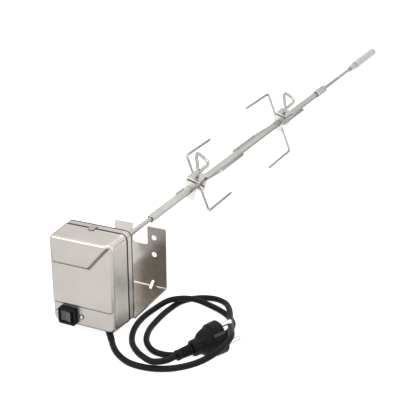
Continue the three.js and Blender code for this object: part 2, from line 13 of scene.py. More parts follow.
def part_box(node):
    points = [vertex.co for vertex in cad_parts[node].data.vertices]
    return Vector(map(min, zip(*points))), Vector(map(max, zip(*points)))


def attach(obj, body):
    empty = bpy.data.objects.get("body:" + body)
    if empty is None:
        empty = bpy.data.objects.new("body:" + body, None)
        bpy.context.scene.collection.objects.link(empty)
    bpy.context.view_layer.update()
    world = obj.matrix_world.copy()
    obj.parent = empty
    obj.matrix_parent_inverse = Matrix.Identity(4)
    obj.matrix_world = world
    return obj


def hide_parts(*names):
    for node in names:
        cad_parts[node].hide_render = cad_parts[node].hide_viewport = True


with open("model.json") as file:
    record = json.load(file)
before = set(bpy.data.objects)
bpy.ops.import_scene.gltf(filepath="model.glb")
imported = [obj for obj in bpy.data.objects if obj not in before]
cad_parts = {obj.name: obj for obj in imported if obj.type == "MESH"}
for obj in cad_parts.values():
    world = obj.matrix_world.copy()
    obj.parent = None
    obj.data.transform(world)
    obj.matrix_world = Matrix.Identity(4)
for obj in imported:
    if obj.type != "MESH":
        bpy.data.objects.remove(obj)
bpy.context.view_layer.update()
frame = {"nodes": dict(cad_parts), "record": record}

MM = 0.001
TAU = 2 * math.pi


def span(node):
    """The lowest and highest corner of a CAD node, in millimetres."""
    low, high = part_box(node)
    return Vector(low) / MM, Vector(high) / MM


def middle(node):
    low, high = span(node)
    return (low + high) / 2


# ---------------- sizes from the frame
SPIT_Z = middle("spit_rod").z
SPIT_AXIS = Matrix.Translation((0, 0, SPIT_Z))
SPIT_TWIST = math.radians(16)
ROD_R = 2.6
ROD_BORE_R = 2.9
COVER_HIGH = span("front_cover")[1]
CASING_LOW, CASING_HIGH = span("back_casing")
BOX_CX = (CASING_LOW.x + CASING_HIGH.x) / 2
BOX_CZ = (CASING_LOW.z + CASING_HIGH.z) / 2
BOX_W = CASING_HIGH.x - CASING_LOW.x
BOX_H = CASING_HIGH.z - CASING_LOW.z
BOX_CORNER = 7
SHEET = 1.2
FRONT_Y = -115.2
SWITCH_SEAT_Y = -115.5
THROUGH_FRONT = (-121, -110)
DRIVE_HOLE_R = 7.7
BOLT_HOLE_R = 2.3
BOLT_HOLES = [middle(f"bracket_bolt_{i}") for i in (1, 2, 3, 4)]
CORD_EXIT = Vector((13, -98, CASING_LOW.z))

# ---------------- camera and lead
SURFACE_Z = -34.0
CORD_R = 3.25
CORD_ROUTE = [
    (29.4, -118.5, -30.2), (36, -126.8, -30.6), (48, -138, -30.7), (67, -147.5, -30.7),
    (91, -147, -30.5), (115, -141, -27), (137, -131.5, -19), (150.5, -116, -10.5),
    (153, -97, -7), (145.5, -77.5, -11), (136, -58, -17), (127, -38, -21),
    (118, -19, -23.3), (105, -1, -26.5), (88, 7.5, -29), (70, 4, -30.5),
    (57, -10, -30.7), (52, -35, -30.7), (51.5, -60, -30.7), (54, -84, -30.7),
    (63, -105, -30.7), (79, -118, -30.7), (97, -117, -30.7), (111, -103.5, -30.7),
    (120.5, -78, -30.7), (130, -54, -30.7), (128, -33, -30.7), (113, -17, -30.7),
    (91, -9, -29), (69, -12, -24), (49, -25, -24), (38, -43, -29.3),
    (35, -65, -30.7), (39, -89, -30.7), (49, -111, -29.5), (63, -129, -26),
    (78, -141.5, -23.3), (92, -146.5, -22.8), (102.8, -140.2, -22.4), (108.9, -130.1, -21.6),
]
PLUG_FACE = Vector((136.7, -84.9, -15.7))
PLUG_AXIS = Vector((0.522, 0.846, 0.11)).normalized()
GLAND_WAY = Vector((0.623, -0.782, 0)).normalized()

CAMERA_AT = Vector((468.6, -832.2, 462.7))
CAMERA_AZIMUTH = 25.384
CAMERA_ELEVATION = 22.016
CAMERA_LENS = 83.69


def catmull_rom(points, steps):
    """A centripetal Catmull-Rom curve through the points."""
    at = [Vector(p) for p in points]
    line = []
    for i in range(len(at) - 1):
        p1, p2 = at[i], at[i + 1]
        p0 = at[i - 1] if i else 2 * p1 - p2
        p3 = at[i + 2] if i + 2 < len(at) else 2 * p2 - p1
        d0, d1, d2 = (math.sqrt((b - a).length) for a, b in ((p0, p1), (p1, p2), (p2, p3)))
        t1 = ((p1 - p0) / d0 - (p2 - p0) / (d0 + d1) + (p2 - p1) / d1) * d1
        t2 = ((p2 - p1) / d1 - (p3 - p1) / (d1 + d2) + (p3 - p2) / d2) * d1
        for k in range(steps):
            t = k / steps
            line.append(
                p1 + t1 * t + (3 * (p2 - p1) - 2 * t1 - t2) * t * t
                + (2 * (p1 - p2) + t1 + t2) * t ** 3)
    line.append(at[-1])
    return line


def make_camera():
    camera = bpy.data.objects.new("camera", bpy.data.cameras.new("camera"))
    camera.location = CAMERA_AT * MM
    camera.rotation_euler = (
        math.radians(90 - CAMERA_ELEVATION), 0, math.radians(CAMERA_AZIMUTH))
    camera.data.lens = CAMERA_LENS
    camera.data.sensor_width = 36
    camera.data.clip_start = 0.01
    camera.data.clip_end = 50
    bpy.context.scene.collection.objects.link(camera)
    bpy.context.scene.camera = camera


# ---------------- materials
class Nodes:
    """A material's nodes, made and linked by short calls."""

    def __init__(self, name):
        self.material = bpy.data.materials.new(name)
        self.material.use_nodes = True
        self.tree = self.material.node_tree
        self.shader = self.tree.nodes["Principled BSDF"]

    def add(self, kind, **inputs):
        node = self.tree.nodes.new(kind)
        for key, value in inputs.items():
            node.inputs[key.replace("_", " ")].default_value = value
        return node

    def link(self, source, node, socket):
        self.tree.links.new(source, node.inputs[socket])

    def noise(self, scale, detail=3.0, stretch=(1, 1, 1), roughness=0.55):
        place = self.add("ShaderNodeTexCoord")
        mapping = self.add("ShaderNodeMapping", Scale=tuple(scale * s for s in stretch))
        self.link(place.outputs["Object"], mapping, "Vector")
        noise = self.add("ShaderNodeTexNoise", Scale=1.0, Detail=detail, Roughness=roughness)
        self.link(mapping.outputs["Vector"], noise, "Vector")
        return noise.outputs["Fac"]

    def spread(self, value, low, high, start=0.3, end=0.7):
        node = self.add("ShaderNodeMapRange")
        for i, number in enumerate((start, end, low, high)):
            node.inputs[i + 1].default_value = number
        self.link(value, node, 0)
        return node.outputs[0]

    def colours(self, value, dark, light):
        node = self.add("ShaderNodeValToRGB")
        for stop, position, colour in zip(node.color_ramp.elements, (0.35, 0.65), (dark, light)):
            stop.position = position
            stop.color = (*colour, 1)
        self.link(value, node, "Fac")
        return node.outputs["Color"]

    def combined(self, operation, first, second):
        node = self.add("ShaderNodeMath")
        node.operation = operation
        self.link(first, node, 0)
        self.link(second, node, 1)
        return node.outputs[0]

    def scaled(self, colour, factor):
        node = self.add("ShaderNodeVectorMath")
        node.operation = "SCALE"
        self.link(colour, node, 0)
        self.link(factor, node, "Scale")
        return node.outputs[0]

    def height_of_normal(self):
        split = self.add("ShaderNodeSeparateXYZ")
        self.link(self.add("ShaderNodeNewGeometry").outputs["Normal"], split, 0)
        return split.outputs["Z"]

    def bump(self, value, strength, distance):
        node = self.add("ShaderNodeBump", Strength=strength, Distance=distance)
        self.link(value, node, "Height")
        return node.outputs["Normal"]


def shade(colour, factor):
    return tuple(min(1, c * factor) for c in colour)


def brushed_metal(
        name, colour, roughness, stretch, grain=900, depth=0.12, contrast=0.06, rim=0.6,
        grounded=False):
    """Metal brushed along the axis that stretch leaves smallest; rim tints its grazing edge.

    When asked, the base colour gets painted shade on faces turned to the ground and painted light
    on faces turned up, by the height of the normal.
    """
    n = Nodes(name)
    lines = n.noise(grain, 4, stretch, 0.7)
    clouds = n.noise(28, 3)
    tint = n.colours(clouds, shade(colour, 1 - contrast), shade(colour, 1 + contrast))
    if grounded:
        # painted shade and painted light: base colour scaled from 0.42 on down-facing faces to 1.2
        # on up-facing ones
        tint = n.scaled(tint, n.spread(n.height_of_normal(), 0.42, 1.2, -0.5, 0.3))
    n.link(tint, n.shader, "Base Color")
    smudges = n.spread(n.noise(60, 5), roughness - 0.04, roughness + 0.05)
    n.link(n.combined("ADD", n.spread(lines, -0.05, 0.06), smudges), n.shader, "Roughness")
    n.shader.inputs["Metallic"].default_value = 1.0
    n.shader.inputs["Specular Tint"].default_value = (rim, rim, rim, 1)
    n.link(n.bump(lines, depth, 0.00006), n.shader, "Normal")
    return n.material


def moulded(name, colour, roughness, grain=2600, depth=0.25, contrast=0.12, shine=0.5):
    """Moulded plastic or rubber with a fine eroded skin."""
    n = Nodes(name)
    skin = n.noise(grain, 4, roughness=0.65)
    clouds = n.noise(90, 4)
    n.link(n.colours(clouds, shade(colour, 1 - contrast), shade(colour, 1 + contrast)),
           n.shader, "Base Color")
    n.link(n.spread(skin, roughness - 0.07, roughness + 0.08), n.shader, "Roughness")
    n.shader.inputs["Specular IOR Level"].default_value = shine
    n.link(n.bump(skin, depth, 0.00005), n.shader, "Normal")
    return n.material


def knurled(name, colour, roughness, pitch=0.0011):
    """Satin grip with a fine crossed knurl pressed round it."""
    n = Nodes(name)
    place = n.add("ShaderNodeTexCoord")
    heights = []
    for turn in (35, -35):
        mapping = n.add("ShaderNodeMapping", Rotation=(math.radians(turn), 0, math.radians(turn)))
        n.link(place.outputs["Object"], mapping, "Vector")
        wave = n.add("ShaderNodeTexWave", Scale=0.32 / pitch, Distortion=0.0)
        wave.bands_direction = "Y"
        n.link(mapping.outputs["Vector"], wave, "Vector")
        heights.append(wave.outputs["Fac"])
    knurl = n.combined("MULTIPLY", *heights)
    clouds = n.noise(50, 4)
    n.link(n.colours(clouds, shade(colour, 0.94), shade(colour, 1.05)), n.shader, "Base Color")
    n.link(n.spread(knurl, roughness + 0.08, roughness - 0.05, 0, 1), n.shader, "Roughness")
    n.shader.inputs["Metallic"].default_value = 0.35
    n.link(n.bump(knurl, 0.3, 0.0001), n.shader, "Normal")
    return n.material


ALONG_X = (0.02, 1, 1)
ALONG_Y = (1, 0.02, 1)
ALONG_Z = (1, 1, 0.02)
EVEN = (1, 1, 1)


def make_looks():
    looks = {"handle_grey": knurled("handle_grey", (0.46, 0.467, 0.467), 0.42)}

    def metal(name, *settings, **more):
        looks[name] = brushed_metal(name, *settings, **more)

    def plastic(name, *settings, **more):
        looks[name] = moulded(name, *settings, **more)

    # this steel has painted shade on its down-facing faces and painted light on its up-facing ones
    metal("cover_steel", (0.50, 0.472, 0.443), 0.34, ALONG_Z, 1300, 0.10, 0.035, grounded=True)
    metal("sheet_steel", (0.50, 0.475, 0.445), 0.17, ALONG_X, 1200, 0.06)
    metal("plated_steel", (0.66, 0.65, 0.62), 0.25, EVEN, 700)
    metal("can_steel", (0.55, 0.55, 0.55), 0.35, ALONG_Y)
    metal("spit_steel", (0.64, 0.63, 0.605), 0.22, ALONG_Y, 1500, rim=0.3)
    metal("rod_steel", (0.50, 0.49, 0.47), 0.5, ALONG_Y, 1500, rim=0.3)
    metal("ferrule_steel", (0.64, 0.635, 0.62), 0.42, ALONG_X, 1500, rim=0.4)
    metal("clamp_steel", (0.64, 0.63, 0.605), 0.2, ALONG_X, 1200, rim=0.4)
    metal("tine_steel", (0.48, 0.475, 0.46), 0.2, ALONG_Y, 1200, rim=0.15)
    metal("pin_plating", (0.62, 0.60, 0.56), 0.2, EVEN)
    # near-black base colour on the earth clip: painted shade of the recess it sits in
    metal("clip_painted_shade", (0.05, 0.046, 0.042), 0.4, EVEN)
    metal("brass", (0.72, 0.52, 0.22), 0.28, EVEN)
    plastic("dark_rubber", (0.008, 0.008, 0.0085), 0.45, 1900, 0.18, shine=0.1)
    plastic("black_plastic", (0.006, 0.006, 0.0065), 0.4, shine=0.1)
    plastic("grey_plastic", (0.030, 0.032, 0.035), 0.26, 1500, 0.08)
    plastic("gear_plastic", (0.74, 0.71, 0.62), 0.45)
    plastic("live_sleeve", (0.20, 0.07, 0.03), 0.35)
    plastic("neutral_sleeve", (0.03, 0.10, 0.36), 0.35)
    plastic("earth_sleeve", (0.30, 0.42, 0.04), 0.35)
    plastic("collar_white", (0.75, 0.74, 0.70), 0.4)
    return looks


LOOKS = make_looks()
NODE_SLOT = {row["node"]: row["material_slot"] for row in frame["record"]["subparts"]}
NODE_BODY = {
    node: body
    for body, nodes in frame["record"]["behaviour"]["bodies"].items()
    for node in nodes
}


# ---------------- making pieces
def new_object(name, mesh):
    made = bpy.data.objects.new(name, mesh)
    bpy.context.scene.collection.objects.link(made)
    return made


def object_of(bm, name):
    mesh = bpy.data.meshes.new(name)
    bm.to_mesh(mesh)
    bm.free()
    return new_object(name, mesh)


def soften(made, width, segments=2, angle=50):
    """Rounds an object's sharp edges over a width in millimetres."""
    edge = made.modifiers.new("edge", "BEVEL")
    edge.width = width * MM
    edge.segments = segments
    edge.limit_method = "ANGLE"
    edge.angle_limit = math.radians(angle)


def piece(name, bm, node, look=None, crease=32, edges=None, replace=True):
    """Makes an object of bm (mm), for a CAD node or as trim on that node's body.

    Edges are what soften takes; without them the edges stay as drawn.
    """
    bmesh.ops.remove_doubles(bm, verts=bm.verts, dist=0.002)
    bmesh.ops.recalc_face_normals(bm, faces=bm.faces)
    bmesh.ops.scale(bm, vec=(MM, MM, MM), verts=bm.verts)
    made = object_of(bm, name)
    if edges:
        soften(made, *edges)
        bake_modifiers(made)
    mesh = made.data
    for polygon in mesh.polygons:
        polygon.use_smooth = True
    mesh.set_sharp_from_angle(angle=math.radians(crease))
    if edges:
        weighted = made.modifiers.new("normals", "WEIGHTED_NORMAL")
        weighted.keep_sharp = True
    mesh.materials.clear()
    slot_name = NODE_SLOT[node]
    mesh.materials.append(LOOKS[look or slot_name])
    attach(made, NODE_BODY[node])
    if replace:
        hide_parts(node)
    return made


def bake_modifiers(made):
    graph = bpy.context.evaluated_depsgraph_get()
    mesh = bpy.data.meshes.new_from_object(made.evaluated_get(graph))
    made.modifiers.clear()
    made.data = mesh


def carve(target, *cutters):
    """target (bm, mm) with the cutters (bm, mm) taken away, as a new bm."""
    return combine(target, cutters, "DIFFERENCE")


def combine(target, others, operation):
    base = scratch(target)
    tools = [scratch(other) for other in others]
    for tool in tools:
        modifier = base.modifiers.new("cut", "BOOLEAN")
        modifier.operation = operation
        modifier.object = tool
        modifier.solver = "EXACT"
        modifier.use_self = operation == "UNION"
    bake_modifiers(base)
    result = bmesh.new()
    result.from_mesh(base.data)
    for used in (base, *tools):
        bpy.data.objects.remove(used)
    return result


def scratch(bm):
    bmesh.ops.recalc_face_normals(bm, faces=bm.faces)
    return object_of(bm, "scratch")


def add_faces(bm, ring_a, ring_b, closed=True):
    count = len(ring_a)
    for i in range(count if closed else count - 1):
        j = (i + 1) % count
        bm.faces.new((ring_a[i], ring_a[j], ring_b[j], ring_b[i]))


def cap(bm, ring):
    """Closes a ring with a fan round its centre."""
    centre = bm.verts.new(sum((v.co for v in ring), Vector()) / len(ring))
    for i, vert in enumerate(ring):
        bm.faces.new((vert, ring[(i + 1) % len(ring)], centre))


def loft(rings, looped=False):
    """A skin over rings of points, closed by caps or back onto the first ring."""
    bm = bmesh.new()
    made = [[bm.verts.new(p) for p in ring] for ring in rings]
    for ring_a, ring_b in zip(made, made[1:]):
        add_faces(bm, ring_a, ring_b)
    if looped:
        add_faces(bm, made[-1], made[0])
    else:
        cap(bm, made[0])
        cap(bm, made[-1])
    return bm


def turned(profile, segments=32, looped=False):
    """A solid of revolution about Y from (radius, y) points; looped, it is open along the axis."""
    return loft([at_y(circle(r, segments), y) for r, y in profile], looped)


def on_spit(profile, segments=48, looped=False):
    return place(turned(profile, segments, looped), SPIT_AXIS)


def rounded(profile, radius, steps=4):
    """The same (a, b) outline with its inner corners rounded."""
    at = [Vector(p) for p in profile]
    route = [at[0]]
    for before, corner, after in zip(at, at[1:], at[2:]):
        into, out = before - corner, after - corner
        reach = min(radius, into.length * 0.49, out.length * 0.49)
        start, end = corner + into.normalized() * reach, corner + out.normalized() * reach
        for k in range(steps + 1):
            t = k / steps
            route.append(start * (1 - t) ** 2 + corner * 2 * t * (1 - t) + end * t * t)
    route.append(at[-1])
    return [tuple(p) for p in route]


def corner_rect(cx, cz, width, height, corner, steps=6, straight=()):
    """Points round a rectangle with rounded corners, or straight-cut ones where asked."""
    points = []
    for k, (sx, sz) in enumerate(((1, 1), (-1, 1), (-1, -1), (1, -1))):
        ox = cx + sx * (width / 2 - corner)
        oz = cz + sz * (height / 2 - corner)
        for i in range(steps + 1):
            t = i / steps
            angle = (k + t) * math.pi / 2
            if k in straight:
                start, end = k * math.pi / 2, (k + 1) * math.pi / 2
                px = math.cos(start) * (1 - t) + math.cos(end) * t
                pz = math.sin(start) * (1 - t) + math.sin(end) * t
            else:
                px, pz = math.cos(angle), math.sin(angle)
            points.append((ox + corner * px, oz + corner * pz))
    return points


def at_y(outline, y):
    return [Vector((x, y, z)) for x, z in outline]


def circle(r, count=32, cx=0.0, cz=0.0):
    return [
        (cx + r * math.cos(TAU * i / count), cz + r * math.sin(TAU * i / count))
        for i in range(count)]


def sheet_outline(outer, holes):
    """A flat face with holes, as a bm in the XY plane, in mm."""
    curve = bpy.data.curves.new("outline", "CURVE")
    curve.dimensions = "2D"
    curve.fill_mode = "BOTH"
    for outline in (outer, *holes):
        spline = curve.splines.new("POLY")
        spline.points.add(len(outline) - 1)
        for point, (x, y) in zip(spline.points, outline):
            point.co = (x, y, 0, 1)
        spline.use_cyclic_u = True
    made = new_object("outline", curve)
    graph = bpy.context.evaluated_depsgraph_get()
    mesh = bpy.data.meshes.new_from_object(made.evaluated_get(graph))
    bpy.data.objects.remove(made)
    bm = bmesh.new()
    bm.from_mesh(mesh)
    bmesh.ops.remove_doubles(bm, verts=bm.verts, dist=0.001)
    return bm


def thickened(outer, holes, depth):
    """The flat face with holes as a plate, its other side at z = depth."""
    bm = sheet_outline(outer, holes)
    grown = bmesh.ops.extrude_face_region(bm, geom=list(bm.faces))
    for item in grown["geom"]:
        if isinstance(item, bmesh.types.BMVert):
            item.co.z = depth
    return bm


def slab(outer, holes, y0, y1):
    """A plate between y0 and y1 from outlines in X and Z, with holes through it."""
    bm = thickened(outer, holes, y1 - y0)
    for vert in bm.verts:
        x, z, depth = vert.co
        vert.co = (x, y0 + depth, z)
    return bm


def folded_at(s, start, heading, straights, bend):
    """Where a point s along a sheet's outer face comes to, and the way into the sheet."""
    point, way = Vector(start), Vector(heading)
    for straight in straights[:-1]:
        into = Vector((way.y, -way.x))
        if s <= straight:
            return point + way * s, into
        point, s = point + way * straight, s - straight
        if s <= bend * math.pi / 2:
            turned_into = into * math.cos(s / bend) - way * math.sin(s / bend)
            return point + (into - turned_into) * bend, turned_into
        point, way, s = point + (way + into) * bend, into, s - bend * math.pi / 2
    return point + way * s, Vector((way.y, -way.x))


def folded_sheet(outer, holes, sheet, start, heading, straights, bend, to_3d):
    """A flat sheet drawn along (s, across) and folded a quarter turn between its straights."""
    bm = thickened(outer, holes, sheet)
    arc = bend * math.pi / 2
    steps = 7
    for s in (straights[0], straights[0] + arc + straights[1]):
        for k in range(steps + 1):
            bmesh.ops.bisect_plane(
                bm, geom=[*bm.verts, *bm.edges, *bm.faces],
                plane_co=(s + arc * k / steps, 0, 0), plane_no=(1, 0, 0))
    for vert in bm.verts:
        s, across, depth = vert.co
        outside, into = folded_at(s, start, heading, straights, bend)
        vert.co = to_3d(outside + into * depth, across)
    return bm


def tube(points, radius, sides, tip=None):
    """A round wire along the points; tip tapers both of its ends to a blunt point."""
    at = [Vector(p) for p in points]
    ways = [(after - before).normalized()
            for before, after in zip([at[0], *at], [*at[1:], at[-1]])]
    side = ways[0].orthogonal().normalized()
    rings = []
    for i, (centre, way) in enumerate(zip(at, ways)):
        if i:
            side = ways[i - 1].rotation_difference(way) @ side
        side = (side - way * side.dot(way)).normalized()
        other = way.cross(side)
        rings.append([
            centre + radius * (math.cos(TAU * k / sides) * side + math.sin(TAU * k / sides) * other)
            for k in range(sides)])
    if tip:
        rings = tapered_end(rings[::-1], at[0], -ways[0], tip)[::-1]
        rings = tapered_end(rings, at[-1], ways[-1], tip)
    return loft(rings)


def tapered_end(rings, end, way, reach):
    """Replaces the last ring by a taper that stays inside the wire's own length."""
    last = rings[-1]
    kept = rings[:-1]
    for t, share in ((1.0, 1.0), (0.5, 0.62), (0.12, 0.28), (0.03, 0.2), (0.0, 0.1)):
        back = way * (reach * t)
        kept.append([end - back + (p - end) * share for p in last])
    return kept


def both_ends(section, low, high):
    """A section's (shape, distance from the end) rows at the low end and mirrored at the high."""
    return ([(shape, low + d) for shape, d in section]
            + [(shape, high - d) for shape, d in section[::-1]])


def ribbed(start, step, count, r, grow, groove, crest, root):
    """Ribs along a boot's outline: crest and root are the shares of a step where they end."""
    outline = []
    for i in range(count):
        y, top = start + step * i, r + grow * i
        outline += [(top, y), (top, y + step * crest), (top - groove, y + step * 0.68),
                    (top - groove, y + step * root)]
    return outline


def hex_nut(r, y0, y1):
    """A hexagonal nut with chamfered faces."""
    return turned(both_ends([(r - 0.3, 0), (r, 0.3)], y0, y1), 6)


def swapped(first, second):
    """The matrix that swaps two axes."""
    rows = [list(row) for row in Matrix.Identity(4)]
    rows[first], rows[second] = rows[second], rows[first]
    return Matrix(rows)


def place(bm, matrix):
    bmesh.ops.transform(bm, matrix=matrix, verts=bm.verts)
    return bm


def block(low, high):
    bm = bmesh.new()
    corners = [bm.verts.new((x, y, z)) for x in (low[0], high[0]) for y in (low[1], high[1])
               for z in (low[2], high[2])]
    for face in ("0132", "4675", "0451", "2376", "0264", "1573"):
        bm.faces.new([corners[int(i)] for i in face])
    return bm


def bar_y(r, y0, y1, x=0.0, z=0.0, sides=32):
    return loft([at_y(circle(r, sides, x, z), y) for y in (y0, y1)])


# ---------------- motor box
EDGE = 3.5
DRAFT = 0.02
PANEL_RISE = 1.0
PLAQUE_RISE = 3.0
PLAQUE_EDGE = 2.6


def smooth_step(value):
    t = min(1.0, max(0.0, value))
    return t * t * (3 - 2 * t)


def distance_inside(point, corners):
    """How far a point lies inside a convex outline given anticlockwise; negative outside."""
    px, pz = point
    nearest = math.inf
    for (ax, az), (bx, bz) in zip(corners, corners[1:] + corners[:1]):
        length = math.hypot(bx - ax, bz - az)
        nearest = min(nearest, ((bx - ax) * (pz - az) - (bz - az) * (px - ax)) / length)
    return nearest


PANEL = {"right": 30.6, "bottom": -2.0, "corner": 4.0, "slope": 1.7,
         "fades_above": (50, 18), "fades_right_of": (22, 6)}
PLAQUE = [(-40, 45.2), (5.6, 45.2), (37.5, 82), (-42.2, 82)]


def front_rise(x, z):
    """How far the raised panel and the corner plaque stand out at a point of the front."""
    right, bottom, corner = PANEL["right"], PANEL["bottom"], PANEL["corner"]
    reach_x, reach_z = x - (right - corner), (bottom + corner) - z
    if reach_x > 0 and reach_z > 0:
        inside = corner - math.hypot(reach_x, reach_z)
    else:
        inside = corner - max(reach_x, reach_z)
    (from_z, over_z), (from_x, over_x) = PANEL["fades_above"], PANEL["fades_right_of"]
    fade = 1 - smooth_step((z - from_z) / over_z) * smooth_step((x - from_x) / over_x)
    rise = PANEL_RISE * smooth_step(inside / PANEL["slope"] + 0.5) * fade
    return rise + PLAQUE_RISE * min(1.0, max(0.0, distance_inside((x, z), PLAQUE) / PLAQUE_EDGE))


def cover_depth(x, z):
    """Where the cover's face lies at a point of its outline, its edge rounded off."""
    half_w, half_h = BOX_W / 2, BOX_H / 2
    qx, qz = abs(x - BOX_CX) - (half_w - BOX_CORNER), abs(z - BOX_CZ) - (half_h - BOX_CORNER)
    outside = math.hypot(max(qx, 0), max(qz, 0)) + min(max(qx, qz), 0) - BOX_CORNER
    inside = max(0.0, -outside)
    drop = EDGE - math.sqrt(max(0.0, EDGE ** 2 - max(0.0, EDGE - inside) ** 2))
    return FRONT_Y - front_rise(x, z) + drop


def on_outline(u, v):
    """Maps the unit square onto the box's outline, its corner patches onto the round ones."""
    x, z = u * BOX_W / 2, v * BOX_H / 2
    ox, oz = abs(x) - (BOX_W / 2 - BOX_CORNER), abs(z) - (BOX_H / 2 - BOX_CORNER)
    if ox > 0 and oz > 0:
        a, b = ox / BOX_CORNER, oz / BOX_CORNER
        x -= math.copysign(ox * (1 - math.sqrt(1 - b * b / 2)), x)
        z -= math.copysign(oz * (1 - math.sqrt(1 - a * a / 2)), z)
    return BOX_CX + x, BOX_CZ + z


def drafted(x, y, z):
    share = max(0.0, (COVER_HIGH.y - y) / (COVER_HIGH.y - FRONT_Y))
    scale = 1 - DRAFT * share
    return Vector((BOX_CX + (x - BOX_CX) * scale, y, BOX_CZ + (z - BOX_CZ) * scale))


def grid_lines(length, step, edge, fine):
    """Positions from -1 to 1, closer together within edge of both ends."""
    half = length / 2
    lines = []
    at = -half
    while at < half - 1e-6:
        lines.append(at / half)
        at += fine if half - abs(at + 1e-6) < edge else step
    lines.append(1.0)
    return lines


def around(grid):
    """The rim of a grid of anything, once round."""
    return [*grid[0], *(row[-1] for row in grid[1:]), *grid[-1][-2::-1],
            *(row[0] for row in grid[-2:0:-1])]


def cover_skin():
    """The cover's face as a fine grid, with walls that flare a little at their lip."""
    step, fine = 0.9, 0.5
    columns, rows = (grid_lines(length, step, BOX_CORNER, fine) for length in (BOX_W, BOX_H))
    flat = [[on_outline(u, v) for u in columns] for v in rows]
    bm = bmesh.new()
    grid = [[bm.verts.new(drafted(x, cover_depth(x, z), z)) for x, z in row] for row in flat]
    for low, high in zip(grid, grid[1:]):
        add_faces(bm, low, high, closed=False)
    previous = around(grid)
    starts = [(vert.co.y, *at) for vert, at in zip(previous, around(flat))]
    lip, most_flare = 1.6, 0.006
    for stop in (0.08, 0.25, 0.5, 0.75, 0.93, 0.96, 1.0):
        ring = []
        for start, x, z in starts:
            y = start + (COVER_HIGH.y - start) * stop
            flare = 1 + most_flare * smooth_step((y - COVER_HIGH.y + lip) / (0.6 * lip))
            ring.append(bm.verts.new(drafted(
                BOX_CX + (x - BOX_CX) * flare, y, BOX_CZ + (z - BOX_CZ) * flare)))
        add_faces(bm, previous, ring)
        previous = ring
    cap(bm, previous)
    return bm


def box_outline(inset, steps=8):
    """The box's outline, moved inwards."""
    return corner_rect(BOX_CX, BOX_CZ, BOX_W - 2 * inset, BOX_H - 2 * inset,
                       BOX_CORNER - inset, steps)


def cover_hollow():
    """The space inside the cover, open at its rear."""
    edge = EDGE - SHEET
    inner = FRONT_Y + SHEET
    stages = ((edge, inner), (0.3 * edge, inner + 0.3 * edge), (0, inner + edge))
    rings = [[drafted(x, y, z) for x, z in box_outline(SHEET + inset)] for inset, y in stages]
    mouth = [drafted(x, COVER_HIGH.y, z) for x, z in box_outline(SHEET)]
    rings.append([p + Vector((0, 1, 0)) for p in mouth])
    return loft(rings)


SWITCH_SCREWS = ("switch_screw_left", "switch_screw_right")
UPRIGHT = Matrix.Rotation(math.pi / 2, 4, "X")


def make_cover():
    switch_low, switch_high = span("switch_bezel")
    cx, cz = (switch_low.x + switch_high.x) / 2, (switch_low.z + switch_high.z) / 2
    half_w, half_h, screw_hole_r, cord_hole_r = 9.6, 8.6, 1.7, 4.7
    y0, y1 = THROUGH_FRONT
    window = block((cx - half_w, y0, cz - half_h), (cx + half_w, y1, cz + half_h))
    cutters = [cover_hollow(), window]
    for name in SWITCH_SCREWS:
        at = middle(name)
        cutters.append(bar_y(screw_hole_r, y0, y1, at.x, at.z, 24))
    hole = bar_y(cord_hole_r, -6, 6)
    cutters.append(place(hole, Matrix.Translation(CORD_EXIT) @ UPRIGHT))
    piece("cover_shell", carve(cover_skin(), *cutters), "front_cover", crease=28)


def make_casing():
    front, rear = CASING_LOW.y, CASING_HIGH.y
    stages = [
        (SHEET + 0.8, rear - SHEET), (SHEET + 0.2, rear - SHEET - 0.3), (SHEET, rear - SHEET - 1),
        (SHEET, front + 0.2), (SHEET - 0.2, front), (0.2, front), (0, front + 0.25),
        (0, front + 0.5), (0, rear - 1.5), (0, rear - 1.2), (0.15, rear - 0.6),
        (0.5, rear - 0.15), (1.1, rear)]
    shell = loft([at_y(box_outline(inset), y) for inset, y in stages])
    through = (-82, -70)
    cutters = [bar_y(DRIVE_HOLE_R, *through, 0, SPIT_Z, 48)]
    cutters += [bar_y(BOLT_HOLE_R, *through, at.x, at.z, 24) for at in BOLT_HOLES]
    piece("casing_shell", carve(shell, *cutters), "back_casing")


def edging(y0, y1, proud, depth):
    """A rubber bead round the box, standing a little proud of it."""
    soft = 0.45
    section = [(soft - proud, y0), (-proud, y0 + soft), (-proud, y1 - soft), (soft - proud, y1),
               (depth - 0.2, y1), (depth, y1 - 0.3), (depth, y0 + 0.3), (depth - 0.2, y0)]
    return loft([at_y(box_outline(inset, 10), y) for inset, y in section], looped=True)


def make_gasket():
    low, high = span("cover_gasket")
    piece("gasket_seal", edging(low.y - 1.5, high.y + 0.7, 0.3, 3.0), "cover_gasket")
    rear = edging(CASING_HIGH.y - 0.9, CASING_HIGH.y + 0.5, 0.3, 1.0)
    piece("rear_edging", rear, "cover_gasket", replace=False)


def make_clips():
    inset, rib_start, rib_end, sunk = 1.2, 3.6, 6.4, 0.1
    for node in ("cover_clip_top", "cover_clip_bottom"):
        low, high = span(node)
        rib = block((low.x + inset, low.y + rib_start, low.z + sunk),
                    (high.x - inset, low.y + rib_end, high.z - sunk))
        strip = combine(block(low, high), [rib], "UNION")
        piece(f"{node}_strip", strip, node, edges=(0.3, 3))


